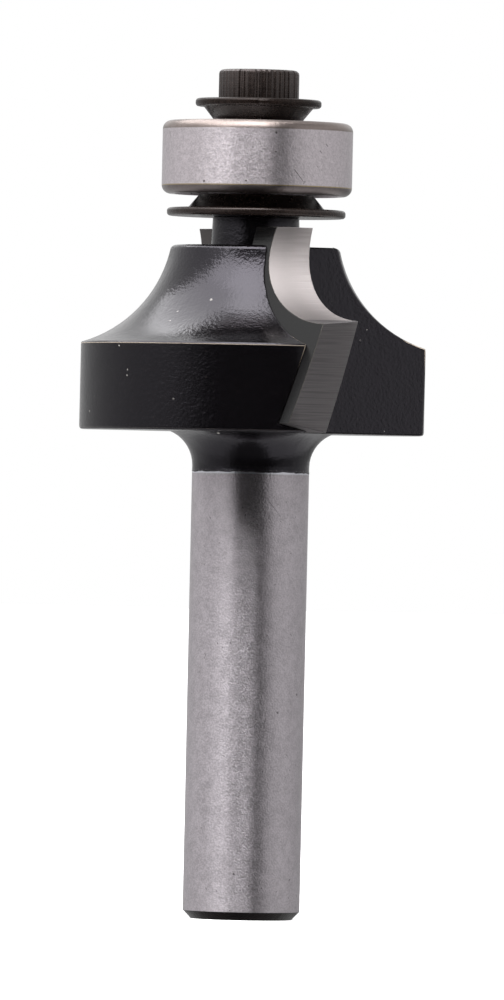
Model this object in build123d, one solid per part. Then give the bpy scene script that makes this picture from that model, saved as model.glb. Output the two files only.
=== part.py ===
from build123d import *
from math import asin, atan2, cos, degrees, hypot, radians, sin, sqrt, tan
import os

# A rounding-over router bit with two brazed carbide tips and a pilot ball bearing.
# Lengths are in millimetres and angles in degrees.  Z is the tool's axis, and the origin
# is the centre of the shank's end face.  X runs outwards in the cutting plane of the
# first tip, and the tool turns from +X towards +Y.

# --- shank and neck ---
shank_diameter = 8.0
shank_length = 30.9
shank_chamfer = 0.55
neck_radius = 2.45
neck_height = 2.3

# --- pilot bearing ---
bearing_bore = 4.0
bearing_diameter = 13.0
bearing_width = 5.0
ring_rounding = 0.6
bore_rounding = 0.15
ball_diameter = 2.381
ball_count = 7
ball_play = 0.012
groove_conformity = 1.04
shoulder_share = 0.76

# --- bearing shields, and the snap wires that hold them ---
shield_seat_depth = 0.65
shield_seat_wall = 0.9
shield_thickness = 0.2
shield_dish = 0.1
shield_fit = 0.02
shield_gap = 0.1
snap_wire_diameter = 0.26
snap_wire_bite = 0.12
snap_wire_fit = 0.01
snap_wire_opening = 24.0

# --- ball cage ---
cage_thickness = 0.9
cage_pocket_clearance = 0.08
cage_finger_reach = 0.7
cage_shield_gap = 0.12

# --- cutting profile: a quarter round between the bearing and the full radius ---
rounding_radius = 6.55
guide_relief = 0.1

# --- head ---
rim_height = 5.95
rim_relief = 1.18
rim_chamfer = 0.12
flank_relief = 2.05
head_top_inset = 0.65
head_top_drop = 1.45
head_top_rounding = 0.4

# --- stem, and the spigot for the bearing ---
stem_diameter = 5.9
stem_foot_diameter = 6.06
stem_height = 2.0
spigot_fit = 0.01
spigot_shortfall = 0.15
screw_hole_run_out = 1.5
drill_point_angle = 118.0

# --- gullets ---
wing_count = 2
gullet_angle = 66.0
gullet_floor_gap = 0.03
gullet_root_rounding = 0.6

# --- carbide tips ---
tip_thickness = 2.1
tip_stand = 0.3
tip_overtop = 1.25
tip_root_gap = 0.05
arc_foot_rise = 1.65
hook_offset = 2.7
shear_angle = 16.2
grinding_offset = 2.0
grinding_tilt = 6.0

# --- washers ---
lower_washer_diameter = 12.2
lower_washer_foot_diameter = 9.4
lower_washer_seat_diameter = 7.8
lower_washer_height = 1.5
upper_washer_diameter = 8.6
upper_washer_foot_diameter = 7.5
upper_washer_seat_diameter = 5.9
upper_washer_height = 1.55
washer_flange = 0.55
washer_rounding = 0.22
largest_rounding = 0.45  # as a share of the flange
washer_fit = 0.03

# --- cap screw ---
screw_diameter = 3.0
screw_length = 12.0
screw_head_diameter = 5.48
screw_head_height = 2.0
screw_head_rounding = 0.3
screw_tip_chamfer = 0.4
screw_clearance = 0.1
thread_fit = 0.02
socket_across_flats = 2.0
socket_depth = 1.1

# --- radii from the axis ---
neck_rim_radius = shank_diameter / 2 + neck_radius - sqrt(neck_radius**2 - neck_height**2)
guide_radius = bearing_diameter / 2 - guide_relief
cutting_radius = guide_radius + rounding_radius
rim_radius = cutting_radius - rim_relief
head_top_radius = guide_radius - head_top_inset
tip_root_radius = stem_foot_diameter / 2 + tip_root_gap
ball_radius = ball_diameter / 2
pitch_radius = (bearing_bore + bearing_diameter) / 4
groove_radius = ball_radius * groove_conformity
groove_shift = groove_radius - ball_radius - ball_play
inner_shoulder = pitch_radius - ball_radius * shoulder_share
outer_shoulder = pitch_radius + ball_radius * shoulder_share
shield_seat_radius = bearing_diameter / 2 - shield_seat_wall

# --- heights along the axis ---
head_foot_z = shank_length + neck_height
rim_top_z = head_foot_z + rim_height
arc_foot_z = rim_top_z + arc_foot_rise
arc_centre_z = arc_foot_z + rounding_radius
head_top_z = arc_centre_z - head_top_drop
tip_top_z = head_top_z + tip_overtop
stem_top_z = head_top_z + stem_height
bearing_z = stem_top_z + lower_washer_height
ball_z = bearing_z + bearing_width / 2
bearing_top_z = bearing_z + bearing_width
screw_seat_z = bearing_top_z + upper_washer_height

# A block of this size reaches past the whole tool from any plane in the head.
reach = 2 * (cutting_radius + screw_seat_z)

# The cutting plane of the first tip: x runs outwards, y up along the tip, z into the wing.
lean = radians(shear_angle)
cutting_plane = Plane((0, -hook_offset, arc_foot_z), (1, 0, 0), (0, -cos(lean), sin(lean)))
tip_foot_y = (head_foot_z - arc_foot_z) / cos(lean)


# ---------------------------------------------------------------- common forms


def turned(outline):
    """The solid that an outline of radius and height makes when it is turned."""
    return revolve(Plane.XZ * outline, Axis.Z)


def outlined(*points):
    """A closed outline with straight sides."""
    return make_face(Polyline(*points, close=True))


def ring(inner, outer, low, high):
    """A ring of rectangular section, or a disc where the inner radius is 0."""
    return turned(outlined((inner, low), (outer, low), (outer, high), (inner, high)))


def corner(outline, radius, height):
    """The corner of an outline at a radius and height."""
    return outline.vertices().sort_by_distance((radius, height))[0]


def block(width, depth, height, align_z=Align.MIN):
    """A block centred on the axis that stands on, or hangs from, its own plane."""
    return Box(width, depth, height, align=(Align.CENTER, Align.CENTER, align_z))


def each_wing(tool):
    """The copies of a tool, one for each wing."""
    return [Rot(0, 0, 360 * wing / wing_count) * tool for wing in range(wing_count)]


# ---------------------------------------------------------------- cutter body


def turned_blank():
    """Shank, flared neck and head as turned, before the wings are milled."""
    shank = shank_diameter / 2
    shank_side = Polyline(
        (0, head_foot_z),
        (0, 0),
        (shank - shank_chamfer, 0),
        (shank, shank_chamfer),
        (shank, shank_length),
    )
    neck_turn = degrees(asin(neck_height / neck_radius))
    neck = CenterArc((shank + neck_radius, shank_length), neck_radius, 180, -neck_turn)
    rim = Polyline((neck_rim_radius, head_foot_z), (rim_radius, head_foot_z), (rim_radius, rim_top_z))
    flank = RadiusArc((rim_radius, rim_top_z), (head_top_radius, head_top_z), rounding_radius + flank_relief)
    lid = Polyline((head_top_radius, head_top_z), (0, head_top_z), (0, head_foot_z))
    outline = make_face([shank_side, neck, rim, flank, lid])
    outline = fillet(corner(outline, head_top_radius, head_top_z), head_top_rounding)
    outline = chamfer(corner(outline, rim_radius, head_foot_z), rim_chamfer)
    outline = chamfer(corner(outline, rim_radius, rim_top_z), rim_chamfer / 2)
    return turned(outline)


def gullet():
    """The V-shaped chip space ahead of the first tip, with its round root.

    Its floor runs from the foot of the stem down to the rim of the neck.
    """
    ahead = cutting_plane.offset(tip_stand) * block(reach, reach, reach, Align.MAX)
    top_distance = stem_foot_diameter / 2 + gullet_floor_gap
    foot_distance = neck_rim_radius + gullet_floor_gap
    turn = radians(gullet_angle - 90)
    tilt = atan2(foot_distance - top_distance, head_top_z - head_foot_z)
    floor = Plane(
        (top_distance * cos(turn), top_distance * sin(turn), head_top_z),
        z_dir=(cos(turn) * cos(tilt), sin(turn) * cos(tilt), sin(tilt)),
    )
    space = ahead & floor * block(reach, reach, reach)
    root = space.edges().sort_by_distance(cutting_plane.origin)[0]
    space = fillet(root, gullet_root_rounding)
    return space & Pos(0, 0, shank_length) * block(reach, reach, reach)


def tip_blank():
    """A tip before grinding, which is also the seat that is milled for it."""
    corner_of_blank = Pos(tip_root_radius, tip_foot_y, 0)
    return cutting_plane * corner_of_blank * Box(reach, reach, tip_thickness, align=Align.MIN)


def stem():
    """The slightly tapered stem and the spigot that carries the bearing."""
    spigot = bearing_bore / 2 - spigot_fit
    spigot_top = bearing_top_z - spigot_shortfall
    foot = stem_foot_diameter / 2
    return turned(
        outlined(
            (0, rim_top_z),
            (foot, rim_top_z),
            (foot, head_top_z),
            (stem_diameter / 2, stem_top_z),
            (spigot, stem_top_z),
            (spigot, spigot_top),
            (0, spigot_top),
        )
    )


def drilled_hole(radius, foot, mouth):
    """A round hole up to its mouth, with the drill's point below its foot."""
    point = foot - radius / tan(radians(drill_point_angle / 2))
    return turned(outlined((0, point), (radius, foot), (radius, mouth), (0, mouth)))


def screw_hole():
    """The tapped hole, without the thread."""
    foot = screw_seat_z - screw_length - screw_hole_run_out
    return drilled_hole(screw_diameter / 2 + thread_fit, foot, screw_seat_z)


def cutter_body():
    body = turned_blank()
    for tool in each_wing(gullet()) + each_wing(tip_blank()):
        body -= tool
    return body + stem() - screw_hole()


# ---------------------------------------------------------------- carbide tips


def grinding_axis():
    """Where the tips are ground from: set ahead of the tool's axis and tilted, for relief."""
    pivot = Pos(cutting_plane.origin)
    return pivot * Rot(grinding_tilt, 0, 0) * pivot.inverse() * Pos(0, grinding_offset, 0)


def on_grinding_axis(radius, height):
    """A point of the cutting edge, as radius and height on the grinding axis."""
    y = tan(lean) * (height - arc_foot_z) - hook_offset
    x = sqrt(radius**2 - y**2)
    point = (grinding_axis().inverse() * Pos(x, y, height)).position
    return hypot(point.X, point.Y), point.Z


def ground_form():
    """Upright edge, quarter round and guide radius, true to size in the cutting plane."""
    halfway = rounding_radius * sqrt(0.5)
    foot = on_grinding_axis(cutting_radius, head_foot_z - neck_height)
    arc_foot = on_grinding_axis(cutting_radius, arc_foot_z)
    arc_middle = on_grinding_axis(cutting_radius - halfway, arc_centre_z - halfway)
    arc_top = on_grinding_axis(guide_radius, arc_centre_z)
    top = (arc_top[0], arc_top[1] + stem_height)
    side = Polyline((0, foot[1]), foot, arc_foot)
    lid = Polyline(arc_top, top, (0, top[1]), (0, foot[1]))
    outline = make_face([side, ThreePointArc(arc_foot, arc_middle, arc_top), lid])
    return grinding_axis() * turned(outline)


def carbide_tip():
    below_top = Pos(0, 0, tip_top_z) * block(reach, reach, reach, Align.MAX)
    return tip_blank() & ground_form() & below_top


# ---------------------------------------------------------------- bearing


def ball_groove(shift):
    """The round track of the balls, shifted so that its bed clears them by the play."""
    return Pos(0, 0, ball_z) * Torus(pitch_radius + shift, groove_radius)


def bearing_outer_ring():
    rim = bearing_diameter / 2
    outline = outlined(
        (outer_shoulder, bearing_z), (rim, bearing_z), (rim, bearing_top_z), (outer_shoulder, bearing_top_z)
    )
    for z in (bearing_z, bearing_top_z):
        outline = fillet(corner(outline, rim, z), ring_rounding)
    body = turned(outline) - ball_groove(-groove_shift)
    seat = ring(0, shield_seat_radius, bearing_z, bearing_z + shield_seat_depth)
    wire_top = bearing_z + shield_seat_depth - shield_thickness
    wire_foot = wire_top - snap_wire_diameter - 2 * snap_wire_fit
    wire_seat = ring(0, shield_seat_radius + snap_wire_bite, wire_foot, wire_top)
    for cut in (seat, wire_seat):
        body -= cut
        body -= upside_down(cut)
    return body


def upside_down(shape):
    """The same shape at the bearing's other face."""
    return mirror(shape, Plane.XY.offset(ball_z))


def bearing_inner_ring():
    bore = bearing_bore / 2
    outline = outlined(
        (bore, bearing_z), (inner_shoulder, bearing_z), (inner_shoulder, bearing_top_z), (bore, bearing_top_z)
    )
    for z in (bearing_z, bearing_top_z):
        outline = chamfer(corner(outline, bore, z), bore_rounding)
    return turned(outline) - ball_groove(groove_shift)


def balls():
    """The balls, evenly spaced on the pitch circle."""
    return [loc * Pos(0, 0, ball_z) * Sphere(ball_radius) for loc in ball_places()]


def ball_places():
    return [Rot(0, 0, 360 * i / ball_count) * Pos(pitch_radius, 0, 0) for i in range(ball_count)]


def ball_cage():
    """A crown cage: a back ring with fingers that reach between the balls."""
    inner, outer = pitch_radius - cage_thickness / 2, pitch_radius + cage_thickness / 2
    top = bearing_top_z - shield_seat_depth - shield_dish - cage_shield_gap
    cage = ring(inner, outer, ball_z - cage_finger_reach, top)
    for place in ball_places():
        cage -= place * Pos(0, 0, ball_z) * Sphere(ball_radius + cage_pocket_clearance)
    return cage


def lower_shield():
    """A thin pressed disc on the seat, dished in towards the balls at its inner edge."""
    inner, outer = inner_shoulder + shield_gap, shield_seat_radius - shield_fit
    middle = (inner + outer) / 2
    low = bearing_z + shield_seat_depth - shield_thickness
    high = bearing_z + shield_seat_depth
    return turned(
        outlined(
            (outer, low),
            (outer, high),
            (middle + shield_dish, high),
            (middle, high + shield_dish),
            (inner, high + shield_dish),
            (inner, low + shield_dish),
            (middle, low + shield_dish),
            (middle + shield_dish, low),
        )
    )


def lower_shield_wire():
    """An open ring of round wire, sprung into its groove in the outer ring."""
    radius = shield_seat_radius + snap_wire_bite - snap_wire_fit - snap_wire_diameter / 2
    height = bearing_z + shield_seat_depth - shield_thickness - snap_wire_fit - snap_wire_diameter / 2
    section = Pos(radius, height) * Circle(snap_wire_diameter / 2)
    return revolve(Plane.XZ * section, Axis.Z, 360 - snap_wire_opening)


# ---------------------------------------------------------------- washers and screw


def rim_rounded(outline, radius, low, high):
    """An outline with both corners of its flange rounded."""
    rounding = min(washer_rounding, largest_rounding * washer_flange)
    for z in (low, high):
        outline = fillet(corner(outline, radius, z), rounding)
    return outline


def lower_washer():
    """Flange on the stem, with a cone up to the bearing's inner ring."""
    bore, rim = bearing_bore / 2 + washer_fit, lower_washer_diameter / 2
    flange_top = stem_top_z + washer_flange
    outline = outlined(
        (bore, stem_top_z),
        (rim, stem_top_z),
        (rim, flange_top),
        (lower_washer_foot_diameter / 2, flange_top),
        (lower_washer_seat_diameter / 2, bearing_z),
        (bore, bearing_z),
    )
    return turned(rim_rounded(outline, rim, stem_top_z, flange_top))


def upper_washer():
    """Cone on the bearing's inner ring, with a flange under the screw's head."""
    bore, rim = screw_diameter / 2 + screw_clearance, upper_washer_diameter / 2
    flange_foot = screw_seat_z - washer_flange
    outline = outlined(
        (bore, bearing_top_z),
        (upper_washer_seat_diameter / 2, bearing_top_z),
        (upper_washer_foot_diameter / 2, flange_foot),
        (rim, flange_foot),
        (rim, screw_seat_z),
        (bore, screw_seat_z),
    )
    return turned(rim_rounded(outline, rim, flange_foot, screw_seat_z))


def cap_screw():
    """Low cap screw with a hexagon socket, its thread left plain at the full diameter."""
    shaft, head = screw_diameter / 2, screw_head_diameter / 2
    foot, top = screw_seat_z - screw_length, screw_seat_z + screw_head_height
    outline = outlined(
        (0, foot),
        (shaft - screw_tip_chamfer, foot),
        (shaft, foot + screw_tip_chamfer),
        (shaft, screw_seat_z),
        (head, screw_seat_z),
        (head, top),
        (0, top),
    )
    screw = turned(fillet(corner(outline, head, top), screw_head_rounding))
    hexagon = RegularPolygon(socket_across_flats / 2, 6, major_radius=False)
    socket = Pos(0, 0, top - socket_depth) * extrude(hexagon, socket_depth)
    return screw - socket - drilled_hole(socket_across_flats / 2, top - socket_depth, top)


# ---------------------------------------------------------------- the parts


def parts():
    """Every part under its own name."""
    named = {
        "cutter_body": cutter_body(),
        "lower_washer": lower_washer(),
        "bearing_inner_ring": bearing_inner_ring(),
        "bearing_outer_ring": bearing_outer_ring(),
        "lower_shield": lower_shield(),
        "upper_shield": upside_down(lower_shield()),
        "lower_shield_wire": lower_shield_wire(),
        "upper_shield_wire": upside_down(lower_shield_wire()),
        "ball_cage": ball_cage(),
        "upper_washer": upper_washer(),
        "cap_screw": cap_screw(),
    }
    for number, tip in enumerate(each_wing(carbide_tip()), start=1):
        named[f"carbide_tip_{number}"] = tip
    for number, ball in enumerate(balls(), start=1):
        named[f"ball_{number}"] = ball
    return named


os.makedirs("parts", exist_ok=True)
for name, shape in parts().items():
    export_step(shape, f"parts/{name}.step")
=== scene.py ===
"""The finish of a rounding-over router bit, and the stage it stands on."""

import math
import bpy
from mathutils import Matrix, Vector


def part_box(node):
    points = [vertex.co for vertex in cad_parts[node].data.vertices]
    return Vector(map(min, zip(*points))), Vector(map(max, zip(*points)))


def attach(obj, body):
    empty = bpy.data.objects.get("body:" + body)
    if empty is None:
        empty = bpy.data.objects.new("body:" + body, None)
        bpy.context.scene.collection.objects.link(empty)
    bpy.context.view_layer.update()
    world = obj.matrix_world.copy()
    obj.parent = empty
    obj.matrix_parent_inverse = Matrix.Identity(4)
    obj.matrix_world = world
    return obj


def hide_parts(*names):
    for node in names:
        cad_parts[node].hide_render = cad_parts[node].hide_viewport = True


bl_info = {
    "name": "Router Bit Finish",
    "version": (1, 0, 0),
    "blender": (4, 5, 0),
    "location": "3D View > Sidebar > Router Bit",
    "description": "Finishes the pieces of a rounding-over router bit and sets up a plain stage",
    "category": "Object",
}

import bmesh
import bpy
from mathutils import Quaternion, Vector
from mathutils import noise as noise_of_place
from mathutils.kdtree import KDTree

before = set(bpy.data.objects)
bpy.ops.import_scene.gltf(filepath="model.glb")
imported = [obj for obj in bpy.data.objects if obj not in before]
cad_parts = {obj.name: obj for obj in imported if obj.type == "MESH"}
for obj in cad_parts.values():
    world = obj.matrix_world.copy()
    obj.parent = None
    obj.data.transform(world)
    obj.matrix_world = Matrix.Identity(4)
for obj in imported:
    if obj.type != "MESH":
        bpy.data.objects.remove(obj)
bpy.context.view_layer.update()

# Lengths are in metres. Angles are in degrees, apart from the settings, which hold radians.
MM = 0.001


def height_of(node, end):
    """The height of a node's foot (end 0) or top (end 1)."""
    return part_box(node)[end].z


def radius_of(node):
    """The largest radius of a round node."""
    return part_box(node)[1].x


# -------- settings


class BodySettings(bpy.types.PropertyGroup):
    """Finish of the cutter body."""

    edge_rounding: bpy.props.FloatProperty(
        name="Edge rounding",
        description="Width of the rounding that the paint leaves along each edge of the head",
        default=0.11 * MM,
        unit="LENGTH",
    )
    shank_radius: bpy.props.FloatProperty(
        name="Shank radius",
        description="Radius of the shank on which the paint ends",
        default=4.0 * MM,
        unit="LENGTH",
    )
    shank_chamfer: bpy.props.FloatProperty(
        name="Shank chamfer",
        description="Height of the dark chamfer at the shank's end",
        default=0.55 * MM,
        unit="LENGTH",
    )
    paint_end: bpy.props.FloatProperty(
        name="Paint end",
        description="Height on the shank at which the paint ends",
        default=30.48 * MM,
        unit="LENGTH",
    )
    # Between these heights the rim's edge line is at full strength: bare metal where the paint has
    # rubbed off, and a painted highlight.
    rim_line_from: bpy.props.FloatProperty(
        name="Worn from",
        description="Height above which the rim's edge is rubbed bright",
        default=38.8 * MM,
        unit="LENGTH",
    )
    rim_line_to: bpy.props.FloatProperty(
        name="Worn to",
        description="Height up to which the rim's edge is rubbed bright",
        default=39.6 * MM,
        unit="LENGTH",
    )
    paint_thickness: bpy.props.FloatProperty(
        name="Paint thickness",
        description="How far the paint stands proud of the shank",
        default=0.012 * MM,
        unit="LENGTH",
    )
    paint_colour: bpy.props.FloatVectorProperty(
        name="Paint colour",
        description="Colour of the paint on head and neck",
        default=(0.0020, 0.0017, 0.0021),
        size=3,
        subtype="COLOR",
    )
    steel_colour: bpy.props.FloatVectorProperty(
        name="Shank colour",
        description="Colour of the ground steel of the shank",
        default=(0.578, 0.535, 0.568),
        size=3,
        subtype="COLOR",
    )


class TipSettings(bpy.types.PropertyGroup):
    """Finish of the carbide tips."""

    edge_rounding: bpy.props.FloatProperty(
        name="Edge rounding",
        description="Width of the light line along each edge of a tip",
        default=0.03 * MM,
        unit="LENGTH",
    )
    corner_height: bpy.props.FloatProperty(
        name="Corner height",
        description="Height at which a tip's straight side ends and its quarter round begins",
        default=40.8 * MM,
        unit="LENGTH",
    )
    lean: bpy.props.FloatProperty(
        name="Lean",
        description="Angle between a tip's cutting plane and the tool's axis",
        default=math.radians(16.2),
        subtype="ANGLE",
    )
    plane_offset: bpy.props.FloatProperty(
        name="Plane offset",
        description="Distance of a tip's cutting plane from the tool's axis at the corner height",
        default=2.7 * MM,
        unit="LENGTH",
    )
    colour: bpy.props.FloatVectorProperty(
        name="Carbide colour",
        description="Colour of the ground carbide",
        default=(0.41, 0.377, 0.373),
        size=3,
        subtype="COLOR",
    )


class ScrewSettings(bpy.types.PropertyGroup):
    """Sizes of the cap screw, and the finish of screw and washers."""

    knurl_count: bpy.props.IntProperty(
        name="Knurl ridges",
        description="Number of ridges around the screw's head",
        default=44,
    )
    knurl_depth: bpy.props.FloatProperty(
        name="Knurl depth",
        description="Depth of the grooves between the ridges",
        default=0.07 * MM,
        unit="LENGTH",
    )
    thread_radius: bpy.props.FloatProperty(
        name="Thread radius",
        description="Outer radius of the thread",
        default=1.5 * MM,
        unit="LENGTH",
    )
    thread_pitch: bpy.props.FloatProperty(
        name="Thread pitch",
        description="Rise of the thread in one turn",
        default=0.5 * MM,
        unit="LENGTH",
    )
    oxide_colour: bpy.props.FloatVectorProperty(
        name="Oxide colour",
        description="Colour of the black oxide on screw and washers",
        default=(0.0055, 0.0036, 0.0029),
        size=3,
        subtype="COLOR",
    )


class BearingSettings(bpy.types.PropertyGroup):
    """Finish of the pilot bearing."""

    ring_rounding: bpy.props.FloatProperty(
        name="Ring rounding",
        description="Radius of the rounded rims of the outer ring",
        default=0.6 * MM,
        unit="LENGTH",
    )
    ring_colour: bpy.props.FloatVectorProperty(
        name="Ring colour",
        description="Colour of the ground rings",
        default=(0.75, 0.685, 0.72),
        size=3,
        subtype="COLOR",
    )
    cage_colour: bpy.props.FloatVectorProperty(
        name="Cage colour",
        description="Colour of the moulded ball cage",
        default=(0.60, 0.56, 0.48),
        size=3,
        subtype="COLOR",
    )


class StageSettings(bpy.types.PropertyGroup):
    """Camera, floor and lights."""

    camera_azimuth: bpy.props.FloatProperty(
        name="Camera azimuth",
        description="Direction the camera stands in, from -Y towards +X",
        default=math.radians(45),
        subtype="ANGLE",
    )
    camera_distance: bpy.props.FloatProperty(
        name="Camera distance",
        description="Distance of the camera from the tool's axis",
        default=0.87,
        unit="LENGTH",
    )
    camera_height: bpy.props.FloatProperty(
        name="Camera height",
        description="Height of the camera above the floor",
        default=27.2 * MM,
        unit="LENGTH",
    )
    camera_roll: bpy.props.FloatProperty(
        name="Camera roll",
        description="How far the camera is turned about its line of sight",
        default=math.radians(1.253),
        subtype="ANGLE",
    )
    frame_height: bpy.props.FloatProperty(
        name="Frame height",
        description="Height of the view at the tool's axis",
        default=68.26 * MM,
        unit="LENGTH",
    )
    softbox_radiance: bpy.props.FloatProperty(
        name="Softbox radiance",
        description="Brightness of the softboxes above the tool",
        default=4.5,
    )
    softbox_height: bpy.props.FloatProperty(
        name="Softbox height",
        description="Height of the softboxes above the head",
        default=0.6,
        unit="LENGTH",
    )


SETTINGS = {
    "bit_body": BodySettings,
    "bit_tips": TipSettings,
    "bit_screw": ScrewSettings,
    "bit_bearing": BearingSettings,
    "bit_stage": StageSettings,
}


# -------- nodes of a material


class Finish:
    """A material with one Principled shader, and short calls for its nodes."""

    def __init__(self, name):
        self.material = bpy.data.materials.new(name)
        self.material.use_nodes = True
        self.tree = self.material.node_tree
        self.shader = self.tree.nodes["Principled BSDF"]
        self.place = self.node("ShaderNodeTexCoord")["Object"]

    def node(self, kind, inputs=None, **values):
        return add_node(self.tree, kind, inputs, **values)

    def group(self, name, **values):
        """The outputs of a shared node group."""
        inputs = {"Place": self.place, **values}
        return self.node("ShaderNodeGroup", inputs, node_tree=shared_groups()[name])

    def ground_lines(self, width, length, mottle):
        """Grinding lines and mottling of the sizes given in millimetres."""
        sizes = {"Line width": width * MM, "Line length": length * MM, "Mottle size": mottle * MM}
        return self.group("ground lines", **sizes)

    def maths(self, operation, *values):
        return maths(self.tree, operation, *values)

    def times(self, value, share):
        return self.maths("MULTIPLY", value, share)

    def varied(self, base, value, swing):
        """A base plus a share of a value that changes over the surface."""
        return self.maths("MULTIPLY_ADD", value, swing, base)

    def band(self, value, low, high):
        return band(self.tree, value, low, high)

    def mix(self, share, first, second):
        return mix(self.tree, share, first, second)

    def set(self, **values):
        """Sets or links the shader's inputs; an underscore stands for a space."""
        for name, value in values.items():
            feed(self.tree, self.shader.inputs[name.replace("_", " ")], value)

    def bump(self, height, distance, normal=None):
        """The surface direction after a height is laid on it, or on an earlier bump."""
        inputs = {"Height": height, "Distance": distance}
        if normal is not None:
            inputs["Normal"] = normal
        return self.node("ShaderNodeBump", inputs)["Normal"]


def add_node(tree, kind, inputs=None, **values):
    """Adds a node with its values set and its inputs fed, and returns its outputs."""
    node = tree.nodes.new(kind)
    for name, value in values.items():
        setattr(node, name, value)
    for name, value in (inputs or {}).items():
        feed(tree, node.inputs[name], value)
    return node.outputs


def feed(tree, socket, value):
    """Links an output to a socket, or sets the socket's own value."""
    if isinstance(value, bpy.types.NodeSocket):
        tree.links.new(value, socket)
    elif socket.type == "RGBA":
        socket.default_value = (*value[:3], 1.0)
    else:
        socket.default_value = value


def maths(tree, operation, *values):
    return add_node(tree, "ShaderNodeMath", dict(enumerate(values)), operation=operation)["Value"]


def band(tree, value, low, high):
    """0 below low, 1 above high and smooth between; the other way round if low is above high."""
    inputs = {"Value": value, "From Min": low, "From Max": high}
    return add_node(tree, "ShaderNodeMapRange", inputs, interpolation_type="SMOOTHSTEP")["Result"]


def mix(tree, share, first, second):
    """A mix of two colours. A Mix node's sockets of one name are told apart by their numbers."""
    inputs = {"Factor": share, 6: first, 7: second}
    return add_node(tree, "ShaderNodeMix", inputs, data_type="RGBA")[2]


def noise(tree, place, scale, detail=2.0, roughness=0.5):
    """Soft noise with a number of waves per metre."""
    inputs = {"Vector": place, "Scale": scale, "Detail": detail, "Roughness": roughness}
    return add_node(tree, "ShaderNodeTexNoise", inputs)["Fac"]


def stretched(tree, place, scales):
    """Coordinates scaled by a different amount along each axis."""
    scale = add_node(tree, "ShaderNodeCombineXYZ", dict(zip("XYZ", scales)))["Vector"]
    return add_node(tree, "ShaderNodeMapping", {"Vector": place, "Scale": scale})["Vector"]


def shared_group(name, inputs, outputs):
    """A node group, what it is given, and the inputs in which it leaves its results."""
    group = bpy.data.node_groups.new(name, "ShaderNodeTree")
    group.interface.new_socket("Place", in_out="INPUT", socket_type="NodeSocketVector")
    for label, default in inputs.items():
        socket = group.interface.new_socket(label, in_out="INPUT", socket_type="NodeSocketFloat")
        socket.default_value = default
    for label in outputs:
        group.interface.new_socket(label, in_out="OUTPUT", socket_type="NodeSocketFloat")
    return group, add_node(group, "NodeGroupInput"), group.nodes.new("NodeGroupOutput").inputs


def ground_lines_group():
    """Fine lines left by a grinding wheel around the axis, and the mottling between them."""
    group, given, result = shared_group(
        "ground lines",
        {"Line width": 0.05 * MM, "Line length": 3 * MM, "Mottle size": 0.3 * MM},
        ["Lines", "Mottle"],
    )
    across = maths(group, "DIVIDE", 1.0, given["Line width"])
    along = maths(group, "DIVIDE", 1.0, given["Line length"])
    scaled = stretched(group, given["Place"], (along, along, across))
    feed(group, result["Lines"], noise(group, scaled, 1.0, 1.0))
    size = maths(group, "DIVIDE", 1.0, given["Mottle size"])
    feed(group, result["Mottle"], noise(group, given["Place"], size, 4.0, 0.62))


def cells(tree, place, scale):
    """Scattered cells: random numbers for each cell, and the distance from its centre."""
    made = add_node(tree, "ShaderNodeTexVoronoi", {"Vector": place, "Scale": scale})
    numbers = add_node(tree, "ShaderNodeSeparateColor", {"Color": made["Color"]})
    return numbers, made["Distance"]


def specks_group():
    """Small scattered specks, each of its own size and shape."""
    group, given, result = shared_group(
        "specks", {"Spacing": 1.5 * MM, "Size": 0.06}, ["Mask", "Shade"]
    )
    ragged = add_node(group, "ShaderNodeTexNoise", {"Vector": given["Place"], "Scale": 6 / MM})
    # A small share of the noise moves the coordinates, which makes the specks' outlines ragged.
    inputs = {"Factor": 0.00012, 4: given["Place"], 5: ragged["Color"]}
    shifted = add_node(group, "ShaderNodeMix", inputs, data_type="VECTOR")[1]
    scale = maths(group, "DIVIDE", 1.0, given["Spacing"])
    chance, distance = cells(group, shifted, scale)
    own_size = maths(group, "MULTIPLY", maths(group, "POWER", chance["Red"], 3.0), given["Size"])
    feed(group, result["Mask"], maths(group, "LESS_THAN", distance, own_size))
    feed(group, result["Shade"], chance["Green"])


def scratches_group():
    """Thin scratches in two directions."""
    group, given, result = shared_group("scratches", {"Spacing": 1.0 * MM, "Width": 0.1}, ["Mask"])
    narrow = maths(group, "DIVIDE", 4.0, given["Spacing"])
    long = maths(group, "DIVIDE", 0.14, given["Spacing"])
    masks = []
    for turn in ((0.3, 0.5, 0.4), (-0.7, 0.2, 1.9)):
        inputs = {"Vector": given["Place"], "Rotation": turn}
        turned = add_node(group, "ShaderNodeMapping", inputs)["Vector"]
        place = stretched(group, turned, (narrow, narrow, long))
        chance, distance = cells(group, place, 1.0)
        share = maths(group, "POWER", chance["Blue"], 5.0)
        width = maths(group, "MULTIPLY", share, given["Width"])
        masks.append(maths(group, "LESS_THAN", distance, width))
    feed(group, result["Mask"], maths(group, "MAXIMUM", *masks))


def broken_edge_line_group():
    """A line along the edges: the edge value broken up, so that the line fades in and out. It
    stands for rubbed edges on the oxide, bare metal and a painted highlight on the paint, and a
    painted highlight on the carbide.
    """
    group, given, result = shared_group("broken edge line", {"Edge": 0.0, "Amount": 0.5}, ["Mask"])
    breaks = noise(group, given["Place"], 1.1 / MM, 3.0, 0.7)
    level = maths(group, "SUBTRACT", 1.0, given["Amount"])
    low, high = maths(group, "SUBTRACT", level, 0.1), maths(group, "ADD", level, 0.1)
    edge = band(group, given["Edge"], 0.35, 0.8)
    feed(group, result["Mask"], maths(group, "MULTIPLY", edge, band(group, breaks, low, high)))


def shared_groups():
    """The node groups that several finishes use, made once."""
    makers = {
        "ground lines": ground_lines_group,
        "specks": specks_group,
        "scratches": scratches_group,
        "broken edge line": broken_edge_line_group,
    }
    for name, make in makers.items():
        if name not in bpy.data.node_groups:
            make()
    return bpy.data.node_groups
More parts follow.
